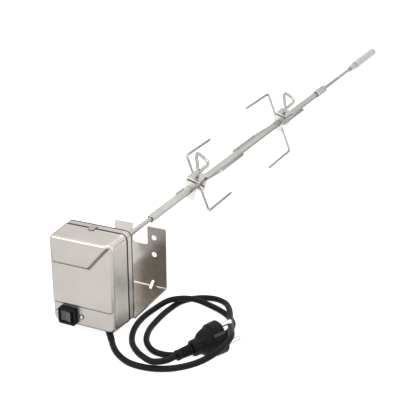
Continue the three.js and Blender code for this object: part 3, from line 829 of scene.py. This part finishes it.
def make_switch():
    low, high = span("switch_bezel")
    cx, cz = (low.x + high.x) / 2, (low.z + high.z) / 2
    width, height = high.x - low.x, high.z - low.z
    cut = {"corner": 2.5, "straight": (1, 3)}
    hole_w, hole_h, hole_corner, pocket_y = 16, 12.4, 0.8, -106.5

    def flange(inset):
        return corner_rect(cx, cz, width - 2 * inset, height - 2 * inset, **cut)

    def hole(grow):
        return corner_rect(cx, cz, hole_w + 2 * grow, hole_h + 2 * grow, hole_corner)

    back = SWITCH_SEAT_Y
    body, tapered = corner_rect(cx, cz, 18.6, 16.6, 1), corner_rect(cx, cz, 18, 16, 1)
    stages = [
        (tapered, high.y), (body, high.y - 0.4), (body, back), (flange(0.2), back),
        (flange(0), back - 0.3), (flange(0), low.y + 0.9), (flange(0.15), low.y + 0.45),
        (flange(0.5), low.y + 0.12), (flange(1.0), low.y), (hole(0.9), low.y),
        (hole(0.45), low.y + 0.1), (hole(0.1), low.y + 0.45), (hole(0), low.y + 1.2),
        (hole(0), pocket_y - 0.4), (hole(-0.4), pocket_y)]
    piece("switch_frame", loft([at_y(outline, y) for outline, y in stages]), "switch_bezel")
    make_rocker()
    for name in SWITCH_SCREWS:
        make_switch_screw(name)


def make_rocker():
    half, height, pivot_y, rest_tilt = 6.3, 11.5, -112.5, math.radians(-8)
    bezel = middle("switch_bezel")
    centre = Vector((bezel.x, pivot_y, bezel.z))
    face = [(-half, -8.2), (-half * 0.5, -7.35), (0, -7.0), (half * 0.5, -7.35), (half, -8.2)]
    outline = [*face, (5.2, 1.2), (-5.2, 1.2)]
    side = slab(outline, [], -height / 2, height / 2)
    laid = Matrix(((1, 0, 0, 0), (0, 0, 1, 0), (0, -1, 0, 0), (0, 0, 0, 1)))
    place(side, Matrix.Translation(centre) @ Matrix.Rotation(rest_tilt, 4, "Z") @ laid)
    piece("rocker_key", side, "rocker_switch", edges=(0.5, 4, 30))


def make_switch_screw(name):
    at = middle(name)
    low, high = span(name)
    seat = SWITCH_SEAT_Y
    head_r, shank_r = 2.2, 1.4
    screw = turned(rounded([
        (0.01, low.y), (1.3, low.y), (head_r, low.y + 0.75), (head_r, seat), (shank_r, seat),
        (shank_r, high.y - 0.5), (0.9, high.y), (0.01, high.y)], 0.35, 3), 32)
    screw = carve(screw, *cross_slots(1.35, 0.25, low.y - 1, low.y + 0.6))
    axis = Matrix.Translation((at.x, 0, at.z))
    place(screw, axis @ Matrix.Rotation(math.radians(20), 4, "Y"))
    piece(f"{name}_head", screw, name)
    # a black ring under the head, wider than it: painted shade of a recess round the screw head
    shade_ring = [(1.5, seat - 0.25), (2.75, seat - 0.25), (2.85, seat - 0.1), (2.85, seat + 0.1),
              (1.5, seat + 0.1)]
    ring = place(turned(shade_ring, 32, looped=True), axis)
    piece(f"{name}_washer", ring, name, look="black_plastic", replace=False)


def cross_slots(half, narrow, y0, y1):
    """The two cutters of a cross recess."""
    return [block((-x, y0, -z), (x, y1, z)) for x, z in ((half, narrow), (narrow, half))]


# ---------------- bracket
FAR_TOP = 48.0
NOTCH = {"half": 9.45, "bottom": 25.5}
EAR_HOLES = {"r": 3.1, "x": 17.5, "heights": (35.3, 14.8)}
DART = {"x": 16, "half": 1.5}


def make_bracket():
    low, high = span("bracket")
    half = high.x
    sheet, bend = 1.5, 3.0
    base = low.z
    far_flat = FAR_TOP - (base + bend)
    floor_flat = (high.y - low.y) - 2 * bend
    near_flat = high.z - (base + bend)
    near_start = far_flat + floor_flat + bend * math.pi
    end = near_start + near_flat

    def near_s(z):
        return near_start + z - (base + bend)

    side, foot = NOTCH["half"], FAR_TOP - NOTCH["bottom"]
    notch = rounded([(0, -side), (foot, -side), (foot, side), (0, side)], 3, 6)
    ear_l = rounded([(0, side), (0, half), (30, half)], 3, 6)
    ear_r = rounded([(30, -half), (0, -half), (0, -side)], 3, 6)
    near_end = rounded([(end - 30, half), (end, half), (end, -half), (end - 30, -half)], 8, 8)
    outer = [*notch[1:-1], *ear_l, *near_end, *ear_r]
    holes = [circle(EAR_HOLES["r"], 40, FAR_TOP - z, way * EAR_HOLES["x"])
             for way in (-1, 1) for z in EAR_HOLES["heights"]]
    holes.append(circle(DRIVE_HOLE_R, 56, near_s(SPIT_Z), 0))
    holes += [circle(BOLT_HOLE_R, 28, near_s(at.z), at.x) for at in BOLT_HOLES]
    body = folded_sheet(
        outer, holes, sheet, (0, FAR_TOP), (0, -1), [far_flat, floor_flat, near_flat], bend,
        lambda at, across: Vector((across, at.x, at.y)))
    section = [(-sheet + 0.5, base + sheet - 0.6), (-sheet + 0.5, base + 9), (-2.2, base + 8.6),
               (-9.4, base + 2.2), (-10, base + sheet - 0.6)]
    darts = [place(slab(section, [], x - DART["half"], x + DART["half"]), swapped(0, 1))
             for x in (-DART["x"], DART["x"])]
    whole = combine(body, darts, "UNION")
    piece("bracket_fold", whole, "bracket", edges=(0.22, 2, 55), crease=25)


def make_bolts():
    for i in (1, 2, 3, 4):
        node = f"bracket_bolt_{i}"
        low, high = span(node)
        at = middle(node)
        seat, nut_rear = -75.2, -80.7 if i < 3 else -78.8
        head_r, shank_r, nut_depth = 3.6, 2.0, 3
        outline = rounded([
            (0.01, high.y), (2.2, high.y), (head_r, high.y - 1.1), (head_r, seat), (shank_r, seat),
            (shank_r, low.y + 0.4), (1.6, low.y), (0.01, low.y)], 0.5, 4)
        bolt = carve(turned(outline[::-1], 36), *cross_slots(1.9, 0.4, high.y - 1.3, high.y + 1))
        whole = combine(bolt, [hex_nut(head_r, nut_rear - nut_depth, nut_rear)], "UNION")
        place(whole, Matrix.Translation((at.x, 0, at.z)) @ Matrix.Rotation(0.5 * i, 4, "Y"))
        piece(f"{node}_screw", whole, node)


# ---------------- drive end
def make_drive():
    low, high = span("drive_socket")
    shank_r, flange_r, shoulder_y, slot_start, slot_half = 5, 8, -75.2, -91, 2.2
    outline = rounded([(0.01, low.y), (shank_r, low.y), (shank_r, shoulder_y),
                       (flange_r, shoulder_y), (flange_r, high.y), (0.01, high.y)], 0.5, 3)
    slot = block((-ROD_BORE_R, slot_start, -slot_half), (ROD_BORE_R, high.y + 1, slot_half))
    piece("drive_socket_turned", place(carve(turned(outline, 48), slot), SPIT_AXIS), "drive_socket")
    low, high = span("output_bush")
    ring = both_ends([(5.3, 0.3), (5.6, 0), (7.1, 0), (7.4, 0.3)], low.y, high.y)
    piece("output_bush_turned", on_spit(ring, looped=True), "output_bush")


# ---------------- spit
def make_spit():
    low, high = span("spit_rod")
    r, round_start, grooves, groove_r, flat_half = ROD_R, -70.5, (726, 753.5), 1.8, 1.8
    outline = [(0.01, round_start), (r, round_start)]
    for y in grooves:
        outline += both_ends([(r, 0), (groove_r, 0.4)], y - 2.2, y + 2.2)
    outline += [(r, high.y - 1), (r - 0.9, high.y), (0.01, high.y)]
    rod = turned(rounded(outline, 0.4, 2), 32)
    tip = combine(
        turned([(0.01, low.y), (r - 0.6, low.y), (r, low.y + 0.8), (r, round_start + 1),
                (0.01, round_start + 1)], 32),
        [block((-5, low.y - 1, -flat_half), (5, round_start + 2, flat_half))], "INTERSECT")
    piece("spit_rod_turned", place(combine(rod, [tip], "UNION"), SPIT_AXIS), "spit_rod",
          look="rod_steel")
    make_tube()
    make_sleeve()


def make_tube():
    low, high = span("spit_tube")
    half, bore = 3.6, 2.9

    def square(size, corner):
        return corner_rect(0, 0, 2 * size, 2 * size, corner, 5)

    stages = both_ends([
        (square(bore, 0.5), 0.2), (square(bore + 0.15, 0.6), 0), (square(half - 0.25, 0.75), 0),
        (square(half, 0.95), 0.25)], low.y, high.y)
    skin = loft([at_y(outline, y) for outline, y in stages], looped=True)
    turn = Matrix.Rotation(SPIT_TWIST, 4, "Y")
    piece("spit_tube_drawn", place(skin, SPIT_AXIS @ turn), "spit_tube")


def make_sleeve():
    low, high = span("end_ring")
    ring = both_ends([(ROD_BORE_R, 0.2), (3.1, 0), (4.2, 0), (4.6, 0.35)], low.y, high.y)
    piece("end_ring_seal", on_spit(ring, 40, looped=True), "end_ring")
    low, high = span("coupling_sleeve")
    radius, parts = 10.5 / math.sqrt(3), 8
    hexagon = [(radius * math.sin(TAU * k / 6), radius * math.cos(TAU * k / 6)) for k in range(6)]
    outer = [(a[0] + (b[0] - a[0]) * t / parts, a[1] + (b[1] - a[1]) * t / parts)
             for a, b in zip(hexagon, hexagon[1:] + hexagon[:1]) for t in range(parts)]

    def limited(most):
        """The hexagon's outline with no point further out than most."""
        scales = [min(1.0, most / math.hypot(x, z)) for x, z in outer]
        return [(x * scale, z * scale) for scale, (x, z) in zip(scales, outer)]

    stages = both_ends([
        (limited(ROD_BORE_R), 0.3), (limited(3.2), 0), (limited(4.9), 0), (limited(5.5), 0.5),
        (limited(6.2), 1.4)], low.y, high.y)
    skin = loft([at_y(outline, y) for outline, y in stages], looped=True)
    piece("coupling_sleeve_hex", place(skin, SPIT_AXIS), "coupling_sleeve", crease=20)


def make_handle():
    low, high = span("handle_ferrule")
    r, bore_end = 5.25, 815
    outline = rounded([
        (0.01, bore_end), (ROD_BORE_R, bore_end), (ROD_BORE_R, low.y), (r - 0.1, low.y),
        (r, low.y + 6), (r - 0.45, low.y + 6.4), (r - 0.45, low.y + 7.6), (r, low.y + 8),
        (r, high.y - 3), (r - 0.4, high.y - 2.6), (r - 0.4, high.y), (0.01, high.y)], 0.35, 3)
    piece("handle_ferrule_turned", on_spit(outline), "handle_ferrule")
    low, high = span("handle_grip")
    r = 6.75
    outline = [(0.01, low.y), (r - 0.9, low.y), (r - 0.25, low.y + 0.4), (r, low.y + 1.2)]
    pitch, depth = 5.2, 0.16
    y = low.y + 5
    while y < high.y - r - pitch:
        outline += [(r, y), (r - depth, y + 0.35), (r - depth, y + 0.75), (r, y + 1.1)]
        y += pitch
    for k in range(12):
        angle = k / 12 * math.pi / 2
        outline.append((r * math.cos(angle), high.y - r + r * math.sin(angle)))
    outline.append((0.01, high.y))
    piece("handle_grip_moulded", on_spit(outline), "handle_grip", crease=45)


# ---------------- forks
FORKS = {
    "fork_1": {"way": 1, "wire_y": 9, "reach": 38, "tine": 73, "loop_turn": -26},
    "fork_2": {"way": -1, "wire_y": -12, "reach": 46, "tine": 88, "loop_turn": -30},
}
WIRE_R = 1.6
TINE_BEND_R = 4.2
TINE_RISE = math.radians(50)
SCREW_R = 2.1


def fillet(corners, radius, steps=7):
    """The 3-D route through the corners with true arcs at the inner ones."""
    at = [Vector(p) for p in corners]
    route = [at[0]]
    for before, corner, after in zip(at, at[1:], at[2:]):
        into, out = (before - corner).normalized(), (after - corner).normalized()
        half = into.angle(out) / 2
        reach = radius / math.tan(half)
        start = corner + into * reach
        centre = corner + (into + out).normalized() * (radius / math.sin(half))
        axis = out.cross(into).normalized()
        sweep = math.pi - 2 * half
        for k in range(steps + 1):
            turn = Quaternion(axis, sweep * k / steps)
            route.append(centre + turn @ (start - centre))
    route.append(at[-1])
    return route


def make_cheeks(name, fork, seat):
    half, low, high, end = 8.3, -11.5, 11.2, 15.5
    sheet, bend = 1.5, 2.6
    straights = [2 * half - bend, 2 * (end - bend), 2 * half - bend]
    length = sum(straights) + bend * math.pi
    slot_half, slot_end, hole_half = 2, 4.2, 3.9
    slot = length / 2 + fork["wire_y"]
    a, b = slot - slot_half, slot + slot_half
    outer = rounded([
        (7, low), (a, low), (a, -slot_end), (b, -slot_end), (b, low), (length, low),
        (length, high), (b, high), (b, slot_end), (a, slot_end), (a, high), (0, high), (0, low),
        (6.5, low)], 1.4, 5)
    holes = [corner_rect(at, 0, 2 * hole_half, 2 * hole_half, 0.6, 4)
             for at in (half, length - half)]
    shell = folded_sheet(
        outer, holes, sheet, (half, -end), (-1, 0), straights, bend,
        lambda at, across: Vector((at.x, at.y, across)))
    piece(f"{name}_cheeks_folded", place(shell, seat), f"{name}_clamp_cheeks",
          edges=(0.2, 2, 55), crease=25)


def make_fork(name, fork):
    cheek_low, cheek_high = span(f"{name}_clamp_cheeks")
    seat = (Matrix.Translation((0, (cheek_low.y + cheek_high.y) / 2, SPIT_Z))
            @ Matrix.Rotation(SPIT_TWIST, 4, "Y"))
    make_cheeks(name, fork, seat)
    width, length, corner, screw_hole_r, low, high = 17.2, 27, 1.6, 2.4, 12.2, 14.2
    lid = slab(corner_rect(0, 0, width, length, corner, 5), [circle(screw_hole_r, 28)], low, high)
    place(lid, seat @ swapped(1, 2))
    piece(f"{name}_lid", lid, f"{name}_top_plate", edges=(0.45, 3, 50))
    for side, node in ((1, "upper_tines"), (-1, "lower_tines")):
        wire = tube(tine_route(fork, side), WIRE_R, 20, tip=7)
        piece(f"{name}_{node}_wire", place(wire, seat), f"{name}_{node}")
    make_thumbscrew(name, fork, seat)


def tine_route(fork, side):
    across, height = 6.2, 5.6
    x, z = fork["reach"] * math.cos(TINE_RISE), fork["reach"] * math.sin(TINE_RISE)
    wire_y = fork["wire_y"]
    tip = wire_y + fork["way"] * fork["tine"]
    corners = [
        (-x, tip, side * z), (-x, wire_y, side * z), (-across, wire_y, side * height),
        (across, wire_y, side * height), (x, wire_y, side * z), (x, tip, side * z)]
    return fillet(corners, TINE_BEND_R)


def make_thumbscrew(name, fork, seat):
    half_loop = [(0.4, 20.6), (3.2, 23.5), (7.5, 30), (11.5, 36), (11, 39.4), (7, 40.8), (0, 41)]
    loop = [(x, 0, z) for x, z in half_loop]
    loop += [(-x, 0, z) for x, z in half_loop[-2::-1]]
    wire = tube(catmull_rom(loop, 8), SCREW_R, 18)
    shaft = threaded_bar(SCREW_R, 3.9, 21.4)
    whole = combine(shaft, [wire], "UNION")
    turn = Matrix.Rotation(math.radians(fork["loop_turn"]), 4, "Z")
    piece(f"{name}_thumbscrew_wire", place(whole, seat @ turn), f"{name}_thumbscrew", crease=40)


def threaded_bar(r, z0, z1, pitch=0.9, depth=0.28, sides=24):
    """A bar along Z with a screw thread up to its last few millimetres."""
    rings = []
    steps = round((z1 - z0) / (pitch / 5))
    for i in range(steps + 1):
        z = z0 + (z1 - z0) * i / steps
        plain = smooth_step((z - (z1 - 4.5)) / 1.0)
        start = smooth_step((z - z0) / 0.8)
        ring = []
        for k in range(sides):
            phase = (z / pitch - k / sides) % 1
            groove = depth * (1 - abs(2 * phase - 1)) * (1 - plain)
            radius = (r - groove) * (0.82 + 0.18 * start)
            ring.append(Vector((radius * math.cos(TAU * k / sides),
                                radius * math.sin(TAU * k / sides), z)))
        rings.append(ring)
    return loft(rings)


# ---------------- lead, gland and plug
def make_cord():
    line = catmull_rom(CORD_ROUTE, 8)
    curve = bpy.data.curves.new("mains_lead", "CURVE")
    curve.dimensions = "3D"
    curve.bevel_depth = CORD_R * MM
    curve.bevel_resolution = 5
    curve.use_fill_caps = True
    spline = curve.splines.new("POLY")
    spline.points.add(len(line) - 1)
    for point, at in zip(spline.points, line):
        point.co = (*(at * MM), 1)
    spline.use_smooth = True
    lead = new_object("mains_lead", curve)
    curve.materials.append(LOOKS["dark_rubber"])
    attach(lead, "housing")
    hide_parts("mains_cord")
    return lead, line


PLUG = {"length": 34.5, "flat": 15.2, "pin_at": 9.5, "pin_r": 2.4, "pin_reach": 19,
        "relief_end": -52.8}


def plug_place():
    side = PLUG_AXIS.cross(Vector((0, 0, 1))).normalized()
    up = side.cross(PLUG_AXIS)
    matrix = Matrix((side, PLUG_AXIS, up)).transposed().to_4x4()
    matrix.translation = PLUG_FACE
    return matrix @ Matrix.Rotation(math.radians(-45), 4, "Y")


def make_plug():
    seat = plug_place()
    length, flat, pin_at = PLUG["length"], PLUG["flat"], PLUG["pin_at"]
    outline = rounded([
        (0.01, -length), (7.7, -length), (8.3, -33.7), (8.8, -26.5), (12.6, -21.8), (14.2, -17.5),
        (15.4, -12.6), (16.9, -11.8), (17.3, -3.5), (17.4, -0.6), (16.8, 0), (0.01, 0)], 0.9, 4)
    body = turned(outline, 72)
    groove = flat - 1.4
    trims = [
        block((flat, -23, -30), (30, 1, 30)), block((-30, -23, -30), (-flat, 1, 30)),
        block((groove, -15, -2.9), (30, -0.4, 2.9)), block((-30, -15, -2.9), (-groove, -0.4, 2.9)),
        turned([(0.01, -5), (2.3, -5), (2.3, 2), (0.01, 2)], 24)]
    place(trims[-1], Matrix.Translation((9.3, 0, 0)))
    trims += [bar_y(3.3, -1.2, 1, 0, z, 32) for z in (-pin_at, pin_at)]
    shaped = carve(body, *trims)
    made = [piece("plug_moulding", place(shaped, seat), "plug_body",
                  edges=(0.35, 2, 40), crease=30)]
    for name, z in (("plug_pin_upper", pin_at), ("plug_pin_lower", -pin_at)):
        made.append(make_pin(name, z, seat))
        collar = [(2.45, -1.1), (3.2, -1.1), (3.2, 0.35), (2.9, 0.6), (2.45, 0.6)]
        ring = place(turned(collar, 32, looped=True), seat @ Matrix.Translation((0, 0, z)))
        made.append(piece(f"{name}_collar", ring, "plug_body", look="collar_white", replace=False))
    for name, way in (("earth_clip_upper", 1), ("earth_clip_lower", -1)):
        made.append(make_earth_clip(name, way, seat))
    made.append(make_relief(seat))
    return made


def make_pin(name, z, seat):
    r, reach, root, nose = PLUG["pin_r"], PLUG["pin_reach"], -5.7, 1.9
    outline = [(0.01, root), (r, root), (r, reach - nose)]
    for k in range(1, 7):
        angle = k / 6 * math.pi / 2
        outline.append((r - nose + nose * math.cos(angle), reach - nose + nose * math.sin(angle)))
    outline.append((0.01, reach))
    pin = place(turned(outline, 32), seat @ Matrix.Translation((0, 0, z)))
    return piece(f"{name}_contact", pin, name)


def make_earth_clip(name, way, seat):
    section = [(0.15, -14), (0.75, -11), (0.75, -4), (0.15, -0.6)]
    base, sheet, half = PLUG["flat"] + 0.2, 0.6, 1.7
    rings = []
    for depth, y in rounded(section, 2.5, 4):
        x, inner = way * (base + depth), way * (base + depth - sheet)
        rings.append([Vector((x, y, -half)), Vector((x, y, half)),
                      Vector((inner, y, half)), Vector((inner, y, -half))])
    strip = place(loft(rings), seat)
    # the clip's dark look is painted shade of its recess
    return piece(f"{name}_spring", strip, name, look="clip_painted_shade", edges=(0.12, 2, 40))


def make_relief(seat):
    front, rear, collar, ribs = -PLUG["length"] - 0.3, PLUG["relief_end"], 3.6, 5
    outline = [(0.01, rear), (4.9, rear), (5.4, rear + 0.5), (5.4, rear + collar)]
    step = (front - rear - collar - 0.8) / ribs
    outline += ribbed(rear + collar + 0.4, step, ribs, 5.2, 0.12, 0.95, 0.62, 0.94)
    outline += [(5.9, front - 0.5), (5.8, front), (0.01, front)]
    boot = place(turned(rounded(outline, 0.22, 2), 40), seat)
    return piece("plug_boot", boot, "plug_strain_relief", crease=40)


def make_gland():
    level, length, ribs, stem_r, stem_top = -30.1, 26, 7, 4.4, 7.6
    base = Matrix.Translation((CORD_EXIT.x, CORD_EXIT.y, level))
    outline = [(0.01, 0), (3.75, 0), (3.75, 5)]
    outline += ribbed(5.6, (length - 7) / ribs, ribs, 3.72, -0.03, 0.35, 0.6, 0.92)
    outline += [(3.5, length - 1.2), (3.48, length), (0.01, length)]
    turn = Vector((0, 1, 0)).rotation_difference(GLAND_WAY).to_matrix().to_4x4()
    boot = place(turned(rounded(outline, 0.2, 2), 32), base @ turn)
    outline = [(0.01, 0), (stem_r, 0), (stem_r, stem_top), (0.01, stem_top)]
    stem = place(turned(rounded(outline, 0.3, 2), 32), base @ UPRIGHT)
    nut = place(hex_nut(7, 6.3, 7.9), base @ UPRIGHT)
    whole = combine(stem, [boot, nut], "UNION")
    piece("gland_boot", whole, "cord_gland", crease=40)


# ---------------- CAD nodes that stay
KEPT = [
    "gear_plate_front", "gear_plate_back", "standoff_1", "standoff_2", "standoff_3",
    "idler_axle", "motor_can", "motor_pinion", "output_gear", "compound_gear",
    "live_lead", "neutral_lead", "earth_lead"]


def dress_kept_nodes():
    for name in KEPT:
        node = frame["nodes"][name]
        node.data.materials.clear()
        node.data.materials.append(LOOKS[NODE_SLOT[name]])
        soften(node, 0.12, 2, 40)


# ---------------- stage
def make_floor():
    half, z = 60, SURFACE_Z * MM
    corners = [(-half, -half, z), (half, -half, z), (half, half, z), (-half, half, z)]
    mesh = bpy.data.meshes.new("floor")
    mesh.from_pydata(corners, [], [(0, 1, 2, 3)])
    floor = new_object("floor", mesh)
    n = Nodes("floor_white")
    n.shader.inputs["Base Color"].default_value = (0.35, 0.35, 0.35, 1)
    n.shader.inputs["Roughness"].default_value = 0.9
    n.shader.inputs["Emission Color"].default_value = (1, 1, 1, 1)
    n.shader.inputs["Emission Strength"].default_value = 0.86
    mesh.materials.append(n.material)


def make_light(name, at, towards, size, power):
    light = bpy.data.lights.new(name, "AREA")
    light.shape = "RECTANGLE"
    light.size, light.size_y = size
    light.energy = power
    lamp = bpy.data.objects.new(name, light)
    lamp.location = at
    lamp.rotation_mode = "QUATERNION"
    lamp.rotation_quaternion = (Vector(towards) - Vector(at)).to_track_quat("-Z", "Y")
    bpy.context.scene.collection.objects.link(lamp)


def make_stage():
    make_floor()
    world = bpy.data.worlds.new("studio")
    bpy.context.scene.world = world
    world.use_nodes = True
    tree = world.node_tree
    back = tree.nodes["Background"]
    place_node = tree.nodes.new("ShaderNodeTexCoord")
    split = tree.nodes.new("ShaderNodeSeparateXYZ")
    ramp = tree.nodes.new("ShaderNodeValToRGB")
    tree.links.new(place_node.outputs["Generated"], split.inputs[0])
    tree.links.new(split.outputs["Z"], ramp.inputs["Fac"])
    stops = ramp.color_ramp.elements
    stops[0].position, stops[0].color = 0.0, (0.12, 0.12, 0.13, 1)
    stops[1].position, stops[1].color = 0.30, (1, 0.99, 0.97, 1)
    stops.new(0.12).color = (0.22, 0.22, 0.22, 1)
    stops.new(0.9).color = (0.75, 0.75, 0.75, 1)
    tree.links.new(ramp.outputs["Color"], back.inputs["Color"])
    back.inputs["Strength"].default_value = 1.25
    make_light("key", (-0.9, -1.3, 1.7), (0, 0.1, 0), (1.2, 1.2), 13)
    make_light("side", (1.9, -0.2, 1.1), (0, 0.2, 0), (1.0, 1.4), 8)
    make_light("top", (0.1, 0.5, 2.2), (0, 0.3, 0), (1.8, 1.8), 14)
    bpy.context.scene.view_settings.view_transform = "Standard"


# ---------------- assembly
make_camera()
lead, lead_line = make_cord()
plug_pieces = make_plug()
make_gland()
make_cover()
make_casing()
make_gasket()
make_clips()
make_switch()
make_bracket()
make_bolts()
make_drive()
make_spit()
make_handle()
for fork_name, fork_sizes in FORKS.items():
    make_fork(fork_name, fork_sizes)
dress_kept_nodes()
make_stage()
